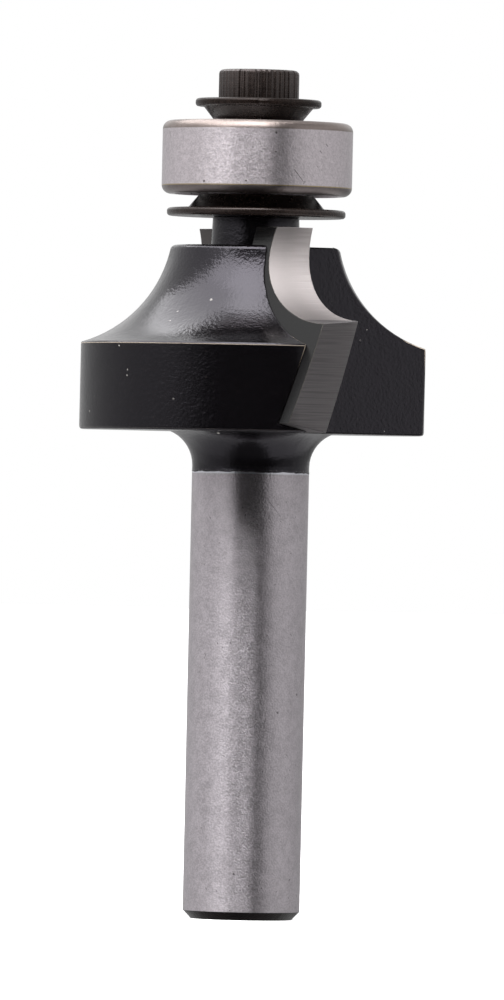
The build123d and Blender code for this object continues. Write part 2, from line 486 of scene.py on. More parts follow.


# -------- finishes


# Colours of what shows through a finish, lies on it or marks it, and of painted highlights and
# painted shade.
DUST = (0.04, 0.032, 0.03)
CHIPPED_PAINT = (0.42, 0.40, 0.37)
# Bare metal and a painted highlight along the paint's edges.
BARE_STEEL_AND_HIGHLIGHT = (0.48, 0.40, 0.32)
PITTED_STEEL = (0.10, 0.09, 0.095)
# A painted highlight just below the paint's end.
PAINT_END_HIGHLIGHT = (0.85, 0.86, 0.92)
CUT_END = (0.012, 0.0095, 0.010)
CARBIDE_LINE = (0.25, 0.235, 0.23)
# A painted highlight along the carbide's edges.
CARBIDE_EDGE_HIGHLIGHT = (0.80, 0.80, 0.84)
# The straight part of a tip, coloured much darker than its quarter round.
DARK_STRAIGHT_CARBIDE = (0.150, 0.142, 0.146)
DARK_STRAIGHT_CARBIDE_LINE = (0.112, 0.105, 0.109)
BRAZE = (0.11, 0.10, 0.09)
PAINTED_BACK = (0.0018, 0.0016, 0.0018)
SCUFFED_BACK = (0.13, 0.12, 0.12)
RUBBED_OXIDE = (0.12, 0.10, 0.09)
RING_LINE = (0.40, 0.37, 0.38)
# Painted shade on the lower rim, a warmer, darker tint on the upper rim, and a painted glint
# beside the wall.
LOWER_RIM_SHADE = (0.135, 0.11, 0.10)
UPPER_RIM_TINT = (0.22, 0.175, 0.15)
LOWER_RIM_GLINT = (0.60, 0.48, 0.26)
RING_MARK = (0.10, 0.09, 0.09)
DARK_SHIELD = (0.46, 0.45, 0.45)
LIGHT_SHIELD = (0.60, 0.59, 0.58)
DARK_BALL = (0.66, 0.66, 0.67)
LIGHT_BALL = (0.80, 0.80, 0.81)


def shade(colour, factor):
    """A darker or lighter shade of a colour."""
    return [min(part * factor, 1) for part in colour]


def coordinates(finish):
    """A point's X, Y and Z in the shared frame."""
    return finish.node("ShaderNodeSeparateXYZ", {"Vector": finish.place})


def axis_distance(finish, place):
    """A point's distance from the tool's axis."""
    squares = [finish.maths("POWER", place[axis], 2.0) for axis in "XY"]
    return finish.maths("SQRT", finish.maths("ADD", *squares))


def edge_value(finish):
    """1 on the rounding along a sharp edge, and 0 elsewhere."""
    return finish.node("ShaderNodeAttribute", attribute_name="edge")["Fac"]


def paint_finish(settings):
    """Glossy black paint with a slight orange peel, dust, and bare metal with a painted highlight
    along its edges.
    """
    finish = Finish("black_paint")
    peel = noise(finish.tree, finish.place, 4.5 / MM, 2.0, 0.6)
    wrinkles = noise(finish.tree, finish.place, 0.9 / MM)
    chips = finish.group("specks", Spacing=0.95 * MM, Size=0.1)
    grit = finish.group("specks", Spacing=0.45 * MM, Size=0.12)
    scratches = finish.group("scratches", Spacing=2.2 * MM, Width=0.02)
    edge_line = finish.group("broken edge line", Edge=edge_value(finish), Amount=0.66)["Mask"]
    dusty = finish.mix(finish.times(grit["Mask"], 0.3), settings.paint_colour, DUST)
    marks = finish.maths("MAXIMUM", finish.times(chips["Mask"], chips["Shade"]), scratches["Mask"])
    paint = finish.mix(finish.times(marks, 0.8), dusty, CHIPPED_PAINT)
    # The edge line is bare metal where the paint has rubbed off, and in part a painted highlight.
    finish.set(Base_Color=finish.mix(edge_line, paint, BARE_STEEL_AND_HIGHLIGHT), Metallic=0.0, IOR=1.5)
    # The paint's reflections are tinted lilac: a painted tint of the studio light.
    finish.set(Specular_Tint=(0.93, 0.88, 1.0))
    roughness = finish.varied(0.13, peel, 0.05)
    finish.set(Roughness=finish.varied(roughness, edge_line, 0.3))
    finish.set(Normal=finish.bump(finish.varied(wrinkles, peel, 1.7), 0.013 * MM))
    return finish.material


def around_axis(finish):
    """The direction across its grinding lines in which a turned surface spreads a highlight."""

    def vector(operation, *values):
        return finish.node("ShaderNodeVectorMath", dict(enumerate(values)), operation=operation)[0]

    outwards = vector("NORMALIZE", vector("MULTIPLY", finish.place, (1, 1, 0)))
    leaning = {0: vector("ADD", outwards, (0, 0, 1))}
    spaces = {"convert_from": "OBJECT", "convert_to": "WORLD"}
    return finish.node("ShaderNodeVectorTransform", leaning, **spaces)[0]


def shank_finish(settings):
    """Ground steel with a fine mottled grain, small pits, a painted highlight just below the
    paint's end, and a dark cut end.
    """
    finish = Finish("ground_shank_steel")
    height = coordinates(finish)["Z"]
    steel, paint_end, chamfer = settings.steel_colour, settings.paint_end, settings.shank_chamfer
    ground = finish.ground_lines(0.12, 0.13, 0.7)
    pits = finish.group("specks", Spacing=1.4 * MM, Size=0.12)
    scratches = finish.group("scratches", Spacing=1.0 * MM, Width=0.14)
    mottle = finish.times(finish.band(ground["Mottle"], 0.3, 0.7), 0.4)
    light = finish.varied(mottle, finish.band(ground["Lines"], 0.25, 0.75), 0.6)
    grained = finish.mix(light, shade(steel, 0.80), shade(steel, 1.16))
    marks = finish.maths("MAXIMUM", pits["Mask"], scratches["Mask"])
    pitted = finish.mix(finish.times(marks, 0.65), grained, PITTED_STEEL)
    # A painted highlight: a bright bluish band just below the paint's end.
    beside_paint = finish.band(height, paint_end - 0.13 * MM, paint_end - 0.08 * MM)
    paint_end_highlit = finish.mix(finish.times(beside_paint, 0.8), pitted, PAINT_END_HIGHLIGHT)
    cut_end = finish.band(height, chamfer + 0.02 * MM, chamfer - 0.01 * MM)
    finish.set(Base_Color=finish.mix(cut_end, paint_end_highlit, CUT_END), Metallic=1.0)
    finish.set(Roughness=finish.varied(0.3, light, 0.09))
    finish.set(Anisotropic=0.91, Tangent=around_axis(finish))
    finish.set(Normal=finish.bump(ground["Lines"], 0.018 * MM))
    return finish.material


def behind_cutting_plane(finish, settings, place):
    """How far a point of a tip lies behind its cutting plane, measured level."""
    above = finish.maths("SUBTRACT", place["Z"], settings.corner_height)
    aside = finish.maths("SUBTRACT", finish.maths("ABSOLUTE", place["Y"]), settings.plane_offset)
    return finish.varied(aside, above, math.tan(settings.lean))


def carbide_finish(settings):
    """Ground carbide: lines across the tip, a brazed edge and paint on its back, a painted
    highlight along its edges, painted shade behind the cutting edge and on the cutting face, and a
    darker straight part.
    """
    finish = Finish("ground_carbide")
    place = coordinates(finish)
    carbide, corner = settings.colour, settings.corner_height
    ground = finish.ground_lines(0.07, 4, 0.4)
    coarse = finish.ground_lines(0.16, 5, 0.12)
    scuffs = finish.group("scratches", Spacing=0.6 * MM, Width=0.05)
    edge_line = finish.group("broken edge line", Edge=edge_value(finish), Amount=0.6)["Mask"]
    side = finish.node("ShaderNodeAttribute", attribute_name="back")["Fac"]

    shades = finish.band(coarse["Lines"], 0.3, 0.7)
    colour = finish.mix(shades, shade(carbide, 0.93), shade(carbide, 1.06))
    lines = finish.times(finish.band(ground["Lines"], 0.5, 0.75), 0.3)
    lined = finish.mix(lines, colour, CARBIDE_LINE)
    # Painted highlight: a thin bright line along the tip's edges.
    edge_highlighted = finish.mix(finish.times(edge_line, 0.7), lined, CARBIDE_EDGE_HIGHLIGHT)
    # Painted shade: the relief face gets darker the farther it lies behind the cutting edge.
    behind = finish.band(behind_cutting_plane(finish, settings, place), -0.3 * MM, 1.6 * MM)
    shaded_relief = finish.mix(behind, edge_highlighted, shade(carbide, 0.58))
    # Painted shade: the cutting face is coloured darker.
    front_shaded = finish.mix(finish.band(side, -0.3, -0.7), shaded_relief, shade(carbide, 0.38))
    # The straight lower part is coloured much darker than the quarter round.
    straight = finish.band(place["Z"], corner + 0.05 * MM, corner)
    dark_straight = finish.mix(finish.band(ground["Lines"], 0.4, 0.65), DARK_STRAIGHT_CARBIDE, DARK_STRAIGHT_CARBIDE_LINE)
    straight_darkened = finish.mix(finish.times(straight, 0.85), front_shaded, dark_straight)
    brazed = finish.mix(finish.band(side, 0.2, 0.3), straight_darkened, BRAZE)
    painted = finish.band(side, 0.7, 0.8)
    paint = finish.mix(finish.times(scuffs["Mask"], 0.5), PAINTED_BACK, SCUFFED_BACK)

    finish.set(Base_Color=finish.mix(painted, brazed, paint))
    finish.set(Metallic=finish.maths("SUBTRACT", 1.0, painted))
    roughness = finish.varied(0.52, coarse["Mottle"], 0.08)
    finish.set(Roughness=finish.varied(roughness, painted, -0.36))
    finish.set(Normal=finish.bump(ground["Lines"], 0.004 * MM))
    return finish.material


def oxide_finish(settings, name, ior):
    """Satin black oxide with a brownish cast, rubbed through along the edges."""
    finish = Finish(name)
    oxide = settings.oxide_colour
    ground = finish.ground_lines(0.09, 4, 0.3)
    specks = finish.group("specks", Spacing=1.1 * MM, Size=0.05)
    edge_line = finish.group("broken edge line", Edge=edge_value(finish), Amount=0.5)["Mask"]
    colour = finish.mix(finish.band(ground["Mottle"], 0.35, 0.65), oxide, shade(oxide, 2.0))
    marks = finish.maths("MAXIMUM", edge_line, specks["Mask"])
    rubbed = finish.mix(finish.times(marks, 0.6), colour, RUBBED_OXIDE)
    finish.set(Base_Color=rubbed, Metallic=0.0, IOR=ior, Specular_Tint=(1.0, 0.86, 0.84))
    finish.set(Roughness=finish.varied(0.19, ground["Mottle"], 0.14))
    lined = finish.bump(ground["Lines"], 0.005 * MM)
    finish.set(Normal=finish.bump(ground["Mottle"], 0.008 * MM, lined))
    return finish.material


def ring_finish(settings):
    """Ground bearing steel with mottling and scratches; painted shade and a painted glint on the
    lower rim, and a warmer, darker colour on the upper rim.
    """
    finish = Finish("ground_bearing_steel")
    place = coordinates(finish)
    ring, rounding = settings.ring_colour, settings.ring_rounding
    ground = finish.ground_lines(0.12, 0.13, 0.32)
    specks = finish.group("specks", Spacing=1.4 * MM, Size=0.08)
    scratches = finish.group("scratches", Spacing=0.9 * MM, Width=0.17)
    mottle = finish.band(ground["Mottle"], 0.3, 0.7)
    lines = finish.times(finish.band(ground["Lines"], 0.4, 0.7), 0.3)
    plain = finish.mix(lines, finish.mix(mottle, shade(ring, 0.9), shade(ring, 1.06)), RING_LINE)

    wall_foot = height_of("bearing_outer_ring", 0) + rounding
    wall_top = height_of("bearing_outer_ring", 1) - rounding
    rim_start = radius_of("bearing_outer_ring") - rounding
    distance = axis_distance(finish, place)
    outside = finish.band(distance, rim_start - 0.05 * MM, rim_start + 0.05 * MM)
    below = finish.band(place["Z"], wall_foot + 0.02 * MM, wall_foot - 0.04 * MM)
    above = finish.band(place["Z"], wall_top - 0.02 * MM, wall_top + 0.04 * MM)
    lower, upper = finish.times(below, outside), finish.times(above, outside)
    # Painted shade on the lower rim's rounding, and a warmer, darker colour on the upper one.
    rim_shaded_and_tinted = finish.mix(finish.times(lower, 0.85), plain, LOWER_RIM_SHADE)
    rim_shaded_and_tinted = finish.mix(finish.times(upper, 0.85), rim_shaded_and_tinted, UPPER_RIM_TINT)
    # A painted glint: a thin yellowish line along the lower rim beside the wall.
    beside_wall = finish.band(place["Z"], wall_foot - 0.08 * MM, wall_foot - 0.04 * MM)
    edge_highlighted = finish.mix(finish.times(lower, beside_wall), rim_shaded_and_tinted, LOWER_RIM_GLINT)
    marks = finish.maths("MAXIMUM", specks["Mask"], scratches["Mask"])

    finish.set(Base_Color=finish.mix(finish.times(marks, 0.8), edge_highlighted, RING_MARK))
    finish.set(Metallic=1.0, Anisotropic=0.88, Tangent=around_axis(finish))
    finish.set(Roughness=finish.varied(0.25, ground["Mottle"], 0.14))
    lined = finish.bump(ground["Lines"], 0.009 * MM)
    finish.set(Normal=finish.bump(ground["Mottle"], 0.018 * MM, lined))
    return finish.material


def shield_finish():
    """Bright pressed steel with faint drawing marks around the axis."""
    finish = Finish("pressed_bright_steel")
    ground = finish.ground_lines(0.2, 0.2, 1.1)
    colour = finish.mix(finish.band(ground["Mottle"], 0.3, 0.7), DARK_SHIELD, LIGHT_SHIELD)
    finish.set(Base_Color=colour, Metallic=1.0)
    finish.set(Roughness=finish.varied(0.22, ground["Mottle"], 0.16))
    finish.set(Normal=finish.bump(ground["Lines"], 0.006 * MM))
    return finish.material


def ball_finish():
    """Polished ball steel with a faint haze."""
    finish = Finish("polished_ball_steel")
    haze = noise(finish.tree, finish.place, 1.5 / MM, 4.0, 0.6)
    finish.set(Base_Color=finish.mix(haze, DARK_BALL, LIGHT_BALL), Metallic=1.0)
    finish.set(Roughness=finish.varied(0.04, haze, 0.06))
    return finish.material


def cage_finish(settings):
    """Moulded nylon with a fine grain."""
    finish = Finish("moulded_nylon")
    grain = noise(finish.tree, finish.place, 6 / MM, 3.0)
    nylon = settings.cage_colour
    finish.set(Base_Color=finish.mix(grain, shade(nylon, 0.85), nylon), Metallic=0.0)
    finish.set(Roughness=finish.varied(0.4, grain, 0.15))
    finish.set(Normal=finish.bump(grain, 0.01 * MM))
    return finish.material


# -------- making pieces


# Points of a CAD mesh closer than this are one point.
SAME_POINT = 0.004 * MM
# Faces that meet at less than the first angle are one flat face; edges past the second get a
# rounding, and edges past the third are shaded sharp.
FLAT_ANGLE, ROUNDED_ANGLE, SHARP_ANGLE = 0.3, 28, 40
# Two surface directions closer than this belong to the same face of the solid.
SAME_FACE_ANGLE = 14
# The cut ends of head and shank turn inwards to this share of their radius before they are closed.
CLOSED_SHARE = 0.97


def dress(node, material):
    """Gives a CAD node its finish."""
    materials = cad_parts[node].data.materials
    materials.clear()
    materials.append(material)


def finished(bm, name, material, body, slot, replaced, sharp_angle=SHARP_ANGLE):
    """Makes a piece from a bmesh, attaches it to its body and hides the nodes it replaces."""
    bmesh.ops.recalc_face_normals(bm, faces=bm.faces)
    shade_smooth(bm, sharp_angle)
    mesh = bpy.data.meshes.new(name)
    bm.to_mesh(mesh)
    bm.free()
    mesh.materials.append(material)
    piece = bpy.data.objects.new(name, mesh)
    bpy.context.scene.collection.objects.link(piece)
    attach(piece, body)
    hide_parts(*replaced)
    return piece


def rounded_copy(node, width):
    """A merged copy of a solid with a small rounding along its sharp edges, marked in "edge"."""
    bm = bmesh.new()
    bm.from_mesh(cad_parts[node].data)
    bmesh.ops.remove_doubles(bm, verts=bm.verts, dist=SAME_POINT)
    bmesh.ops.dissolve_limit(
        bm, angle_limit=math.radians(FLAT_ANGLE), verts=bm.verts, edges=bm.edges
    )
    bmesh.ops.recalc_face_normals(bm, faces=bm.faces)
    edge = bm.verts.layers.float.new("edge")
    rounded_from = math.radians(ROUNDED_ANGLE)
    sharp = [e for e in bm.edges if e.is_manifold and e.calc_face_angle(0) > rounded_from]
    made = bmesh.ops.bevel(
        bm,
        geom=[e for e in sharp if e.is_convex],
        offset=width,
        offset_type="OFFSET",
        segments=2,
        profile=0.5,
        affect="EDGES",
        clamp_overlap=False,
        material=-1,
    )
    rounding = set(made["faces"])
    for vert in made["verts"]:
        vert[edge] = 1.0 if all(face in rounding for face in vert.link_faces) else 0.0
    return bm


def shade_smooth(bm, sharp_angle):
    """Smooth shading, apart from edges that are clearly sharp."""
    for face in bm.faces:
        face.smooth = True
    for edge in bm.edges:
        edge.smooth = edge.calc_face_angle(0) < math.radians(sharp_angle)


def keep_true_normals(piece, node, width):
    """Takes over the exact surface direction of the solid wherever a point still lies on it."""
    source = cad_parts[node].data
    normals = [corner.vector.copy() for corner in source.corner_normals]
    tree = KDTree(len(source.loops))
    for index, loop in enumerate(source.loops):
        tree.insert(source.vertices[loop.vertex_index].co, index)
    tree.balance()
    mesh = piece.data
    found = []
    for face in mesh.polygons:
        for index in face.loop_indices:
            point = mesh.vertices[mesh.loops[index].vertex_index].co
            best, score = None, math.cos(math.radians(SAME_FACE_ANGLE))
            for _, near, distance in tree.find_range(point, 1.5 * width):
                # The best match in direction wins, and between equals the nearer one.
                match = normals[near].dot(face.normal) - distance / width * 0.01
                if match > score:
                    best, score = normals[near], match
            found.append(best if best is not None else mesh.corner_normals[index].vector.copy())
    mesh.normals_split_custom_set(found)


def cut_at(bm, height, keep_above):
    """Cuts a mesh level at a height, and keeps one side of it open."""
    bmesh.ops.bisect_plane(
        bm,
        geom=[*bm.verts, *bm.edges, *bm.faces],
        plane_co=(0, 0, height),
        plane_no=(0, 0, 1),
        clear_inner=keep_above,
        clear_outer=not keep_above,
    )


def raised(bm, ring, rise, scale=1.0):
    """Extrudes a ring of edges upwards, and returns the new ring."""
    made = bmesh.ops.extrude_edge_only(bm, edges=ring)["geom"]
    verts = [item for item in made if isinstance(item, bmesh.types.BMVert)]
    bmesh.ops.scale(bm, vec=(scale, scale, 1.0), verts=verts)
    bmesh.ops.translate(bm, vec=(0, 0, rise), verts=verts)
    return [item for item in made if isinstance(item, bmesh.types.BMEdge)]


def circle_edges(verts):
    """The edges of a loose circle."""
    return list({edge for vert in verts for edge in vert.link_edges})


# -------- pieces


class BIT_OT_painted_head(bpy.types.Operator):
    """Painted head, stem and neck of the cutter body, with rounded edges showing bare metal and a
    painted highlight
    """

    bl_idname = "router_bit.painted_head"
    bl_label = "Painted head"

    def execute(self, context):
        settings = context.scene.bit_body
        lip_slope, lip_wall, lip_wander, joint = 0.07 * MM, 0.05 * MM, 0.10 * MM, 0.13 * MM
        lip_top = settings.paint_end + lip_wall + lip_slope
        bm = rounded_copy("cutter_body", settings.edge_rounding)
        cut_at(bm, lip_top + joint, keep_above=True)
        weaker_line_off_the_rim(bm, settings.rim_line_from, settings.rim_line_to)
        cut = [e for e in bm.edges if e.is_boundary]
        lip = bmesh.ops.create_circle(bm, segments=180, radius=settings.shank_radius)["verts"]
        bmesh.ops.translate(bm, vec=(0, 0, lip_top), verts=lip)
        ring = circle_edges(lip)
        bmesh.ops.bridge_loops(bm, edges=cut + ring)
        ring = raised(bm, ring, -lip_slope, 1 + settings.paint_thickness / settings.shank_radius)
        ring = raised(bm, ring, -lip_wall)
        for vert in {vert for e in ring for vert in e.verts}:
            vert.co.z += lip_wander * paint_wave(vert.co)
        ring = raised(bm, ring, 0, CLOSED_SHARE)
        bmesh.ops.holes_fill(bm, edges=ring, sides=0)
        material = paint_finish(settings)
        slot = "black_painted_steel"
        piece = finished(bm, "painted_head", material, "cutter", slot, ["cutter_body"])
        keep_true_normals(piece, "cutter_body", settings.edge_rounding)
        return {"FINISHED"}


def weaker_line_off_the_rim(bm, foot, top):
    """Keeps the full edge line, bare metal and painted highlight, for the upper edge of the rim,
    and lowers it elsewhere.
    """
    edge = bm.verts.layers.float["edge"]
    kept_elsewhere = 0.42
    for vert in bm.verts:
        if not foot < vert.co.z < top:
            vert[edge] *= kept_elsewhere


def paint_wave(place):
    """How far the paint's end runs up or down at a place on the shank, from about -1 to 1."""
    direction = Vector((place.x, place.y, 0)).normalized()
    waves = ((1, 3.1), (0.5, 13.0), (0.25, 37.0))
    return sum(share * noise_of_place.noise(direction * count) for share, count in waves)


class BIT_OT_ground_shank(bpy.types.Operator):
    """Ground steel shank below the paint"""

    bl_idname = "router_bit.ground_shank"
    bl_label = "Ground shank"

    def execute(self, context):
        settings = context.scene.bit_body
        rounding, under_paint = 0.03 * MM, 0.15 * MM
        bm = rounded_copy("cutter_body", rounding)
        cut_at(bm, settings.paint_end + under_paint, keep_above=False)
        ring = raised(bm, [e for e in bm.edges if e.is_boundary], 0, CLOSED_SHARE)
        bmesh.ops.holes_fill(bm, edges=ring, sides=0)
        material = shank_finish(settings)
        slot = "black_painted_steel"
        piece = finished(bm, "ground_shank", material, "cutter", slot, ["cutter_body"])
        keep_true_normals(piece, "cutter_body", rounding)
        return {"FINISHED"}


class BIT_OT_carbide_tips(bpy.types.Operator):
    """Both carbide tips with ground faces and painted backs"""

    bl_idname = "router_bit.carbide_tips"
    bl_label = "Carbide tips"

    def execute(self, context):
        settings = context.scene.bit_tips
        material = carbide_finish(settings)
        for number, turning in ((1, Vector((0, 1, 0))), (2, Vector((0, -1, 0)))):
            node = f"carbide_tip_{number}"
            bm = rounded_copy(node, settings.edge_rounding)
            mark_backs(bm, turning)
            piece = finished(bm, f"ground_tip_{number}", material, "cutter", "carbide", [node])
            keep_true_normals(piece, node, settings.edge_rounding)
        return {"FINISHED"}


def mark_backs(bm, turning):
    """Marks in "back" a tip's back with 1, the braze beside it with 0.5, its front with -1."""
    back = bm.faces.layers.float.new("back")
    nearly_square, largest_braze = 0.85, 2e-7
    backs = {face for face in bm.faces if face.normal.dot(turning) < -nearly_square}
    for face in bm.faces:
        beside = any(other in backs for edge in face.edges for other in edge.link_faces)
        if face in backs:
            face[back] = 1.0
        elif face.normal.dot(turning) > nearly_square:
            face[back] = -1.0
        elif beside and face.calc_area() < largest_braze:
            face[back] = 0.5


def screw_wall(bm, settings, radius, foot, top):
    """The knurled wall of the screw's head: the rings of edges at its foot and at its top."""
    points_in_ridge, groove_points = 4, (0, 1)
    count = settings.knurl_count * points_in_ridge
    circle = bmesh.ops.create_circle(bm, segments=count, radius=radius)["verts"]
    for index, vert in enumerate(circle):
        ridge, point = divmod(index, points_in_ridge)
        if point in groove_points:
            wear = 0.7 + noise_of_place.noise(Vector((ridge * 0.9, 0, 0)))
            vert.co *= 1 - settings.knurl_depth * wear / radius
        vert.co.z = foot
    ring = circle_edges(circle)
    return ring, raised(bm, ring, top - foot)


class BIT_OT_cap_screw(bpy.types.Operator):
    """Cap screw with a knurled head, a hexagon socket and a thread"""

    bl_idname = "router_bit.cap_screw"
    bl_label = "Cap screw"

    def execute(self, context):
        settings = context.scene.bit_screw
        seat = height_of("upper_washer", 1)
        foot, top = height_of("cap_screw", 0), height_of("cap_screw", 1)
        head, rounding = radius_of("cap_screw"), 0.3 * MM
        bm = bmesh.new()
        lower, upper = screw_wall(bm, settings, head, seat, top - rounding)
        upper = self.rounded_rim(bm, upper, head, rounding)
        self.add_socket(bm, upper, head - rounding, top)
        self.add_shaft(bm, settings, lower, head, seat, foot)
        self.add_thread(bm, settings, foot + 0.4 * MM, seat - 2.2 * MM)
        piece, slot = "knurled_cap_screw", "black_oxide"
        material = oxide_finish(settings, "screw_oxide", 1.58)
        finished(bm, piece, material, "cutter", slot, ["cap_screw"], sharp_angle=22)
        return {"FINISHED"}

    def rounded_rim(self, bm, ring, head, rounding):
        """The rounding around the top of the head."""
        turns = [math.radians(angle) for angle in (0, 30, 60, 90)]
        for before, turn in zip(turns, turns[1:]):
            rise = rounding * (math.sin(turn) - math.sin(before))
            now = head - rounding * (1 - math.cos(turn))
            was = head - rounding * (1 - math.cos(before))
            ring = raised(bm, ring, rise, now / was)
        return ring

    def add_socket(self, bm, ring, radius, top):
        """The dished top with its hexagon socket, and the drill's cone in the socket's floor."""
        flat_radius, dish = 1.45 * MM, 0.06 * MM
        socket_width, socket_depth, cone = 2.0 * MM, 1.1 * MM, 0.55 * MM
        ring = raised(bm, ring, 0, flat_radius / radius)
        corner_radius = socket_width / 2 / math.cos(math.radians(30))
        corners = bmesh.ops.create_circle(bm, segments=6, radius=corner_radius)["verts"]
        bmesh.ops.translate(bm, vec=(0, 0, top - dish), verts=corners)
        hexagon = circle_edges(corners)
        bmesh.ops.bridge_loops(bm, edges=ring + hexagon)
        floor = raised(bm, hexagon, dish - socket_depth)
        point = raised(bm, floor, -cone, 0.02)
        bmesh.ops.holes_fill(bm, edges=point, sides=0)

    def add_shaft(self, bm, settings, ring, head, seat, foot):
        """The core of the thread, with a chamfered end."""
        core, chamfer = settings.thread_radius * 0.82, 0.3 * MM
        neck = raised(bm, ring, 0, core / head)
        end = raised(bm, neck, foot - seat + chamfer)
        end = raised(bm, end, -chamfer, 0.8)
        bmesh.ops.holes_fill(bm, edges=end, sides=0)

    def add_thread(self, bm, settings, foot, top):
        """A V-shaped ridge wound up the shaft."""
        steps_in_turn = 24
        crest, pitch = settings.thread_radius, settings.thread_pitch
        root = crest * 0.8
        section = [
            bm.verts.new((root, 0, foot)),
            bm.verts.new((crest, 0, foot + pitch * 0.45)),
            bm.verts.new((crest, 0, foot + pitch * 0.55)),
            bm.verts.new((root, 0, foot + pitch)),
        ]
        face = bm.faces.new(section)
        steps = int((top - foot) / pitch * steps_in_turn)
        bmesh.ops.spin(
            bm,
            geom=[face, *face.edges, *section],
            axis=(0, 0, 1),
            cent=(0, 0, 0),
            dvec=(0, 0, pitch / steps_in_turn),
            angle=math.tau * steps / steps_in_turn,
            steps=steps,
        )


class BIT_OT_washers(bpy.types.Operator):
    """The two dished washers at the bearing"""

    bl_idname = "router_bit.washers"
    bl_label = "Washers"

    def execute(self, context):
        settings = context.scene.bit_screw
        dress("lower_washer", oxide_finish(settings, "satin_oxide", 1.5))
        dress("upper_washer", oxide_finish(settings, "dull_oxide", 1.3))
        return {"FINISHED"}


class BIT_OT_bearing(bpy.types.Operator):
    """Pilot bearing: rings, shields with their wires, balls and cage"""

    bl_idname = "router_bit.bearing"
    bl_label = "Pilot bearing"

    def execute(self, context):
        settings = context.scene.bit_bearing
        rings = ring_finish(settings)
        shields = shield_finish()
        balls = ball_finish()
        for node in ("bearing_inner_ring", "bearing_outer_ring"):
            dress(node, rings)
        for node in ("lower_shield", "upper_shield", "lower_shield_wire", "upper_shield_wire"):
            dress(node, shields)
        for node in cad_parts:
            if node.startswith("ball_") and node != "ball_cage":
                dress(node, balls)
        dress("ball_cage", cage_finish(settings))
        return {"FINISHED"}


# -------- stage


def towards_camera(settings):
    """Unit vector from the tool towards the camera."""
    return Vector((math.sin(settings.camera_azimuth), -math.cos(settings.camera_azimuth), 0))


def add_camera(scene, settings):
    """A level camera, shifted so that the tool's axis lies where it should in the picture."""
    # Both in pixels.
    picture, axis_place = (504, 1000), (249.5, 520.5)
    front = towards_camera(settings)
    data = bpy.data.cameras.new("camera")
    data.sensor_width = 36
    data.lens = data.sensor_width * settings.camera_distance / settings.frame_height
    data.shift_x = (picture[0] / 2 - axis_place[0]) / max(picture)
    data.shift_y = (axis_place[1] - picture[1] / 2) / max(picture)
    data.clip_start, data.clip_end = 0.05, 20
    camera = bpy.data.objects.new("camera", data)
    camera.location = front * settings.camera_distance + Vector((0, 0, settings.camera_height))
    camera.rotation_mode = "QUATERNION"
    roll = Quaternion((0, 0, 1), settings.camera_roll)
    camera.rotation_quaternion = (-front).to_track_quat("-Z", "Y") @ roll
    scene.collection.objects.link(camera)
    scene.camera = camera


# The softboxes above the tool. Each has its share of the full radiance, and its left, right, back
# and near sides as the camera sees them, in units of its height above the head.
SOFTBOXES = (
    ("left softbox", 0.6, -1.15, -0.27, -1.25, 0.4),
    ("overhead softbox", 0.95, -0.27, 0.2, -0.06, 0.4),
    ("front left softbox", 0.85, -1.15, -0.5, 0.4, 1.4),
    ("front softbox", 1.08, -0.5, 0.27, 0.4, 1.32),
)


def add_softbox(scene, settings, name, share, left, right, back, near):
    """An area light that the camera doesn't see."""
    front = towards_camera(settings)
    side = Vector((-front.y, front.x, 0))
    height = settings.softbox_height
    width, depth = (right - left) * height, (near - back) * height
    data = bpy.data.lights.new(name, "AREA")
    data.shape = "RECTANGLE"
    data.size, data.size_y = width, depth
    data.energy = settings.softbox_radiance * share * math.pi * width * depth
    light = bpy.data.objects.new(name, data)
    # The head lies at about four fifths of the body's height.
    head = height_of("cutter_body", 1) * 0.8
    centre = (side * (left + right) / 2 + front * (back + near) / 2) * height
    light.location = centre + Vector((0, 0, head + height))
    light.rotation_euler = (0, 0, settings.camera_azimuth)
    light.visible_camera = False
    scene.collection.objects.link(light)


def ramp(tree, value, stops):
    """A grey ramp over the azimuth, from (degrees, brightness) stops."""
    node = tree.nodes.new("ShaderNodeValToRGB")
    feed(tree, node.inputs["Fac"], value)
    elements = node.color_ramp.elements
    while len(elements) < len(stops):
        elements.new(0.5)
    for element, (degrees, grey) in zip(elements, sorted(stops)):
        element.position = degrees / 360 + 0.5
        element.color = (grey, grey, grey, 1)
    return node.outputs["Color"]


# The room that the tool mirrors, as brightness by azimuth, 0 being the camera. The floor comes
# first, and each layer above it has the sine of the elevation at which it begins and at which it
# is reached.
ROOM_FLOOR = [(-180, 0.75), (-60, 0.6), (-35, 0.08), (30, 0.08), (45, 0.75), (180, 0.75)]
ROOM_LAYERS = (
    (-0.5, -0.3, [
        (-180, 0.5), (-150, 0.52), (-110, 0.57), (-80, 0.42), (-60, 0.34), (-50, 0.3),
        (-40, 0.145), (-32, 0.03), (-27, 0.01), (40, 0.01), (50, 0.06), (60, 0.16), (70, 0.22),
        (90, 0.30), (110, 0.36), (130, 0.33), (150, 0.22), (180, 0.4),
    ]),
    (-0.1, -0.03, [
        (-180, 0.6), (-165, 0.5), (-150, 0.46), (-60, 0.42), (-50, 0.33), (-41, 0.15),
        (-31, 0.02), (28, 0.012), (45, 0.25), (60, 0.5), (120, 0.4), (150, 0.4), (165, 0.45),
        (180, 0.6),
    ]),
    (0.08, 0.2, [
        (-180, 1.0), (-140, 1.0), (-120, 0.95), (-80, 1.0), (-50, 1.35), (-36, 1.2), (-24, 0.1),
        (30, 0.1), (42, 0.6), (60, 0.85), (90, 0.85), (120, 0.7), (150, 0.8), (180, 1.0),
    ]),
    (0.5, 0.62, [
        (-180, 1.1), (-150, 1.0), (-110, 1.0), (-40, 1.8), (-15, 2.2), (22, 1.9), (31, 1.1),
        (40, 0.4), (110, 0.5), (150, 0.8), (180, 1.1),
    ]),
)


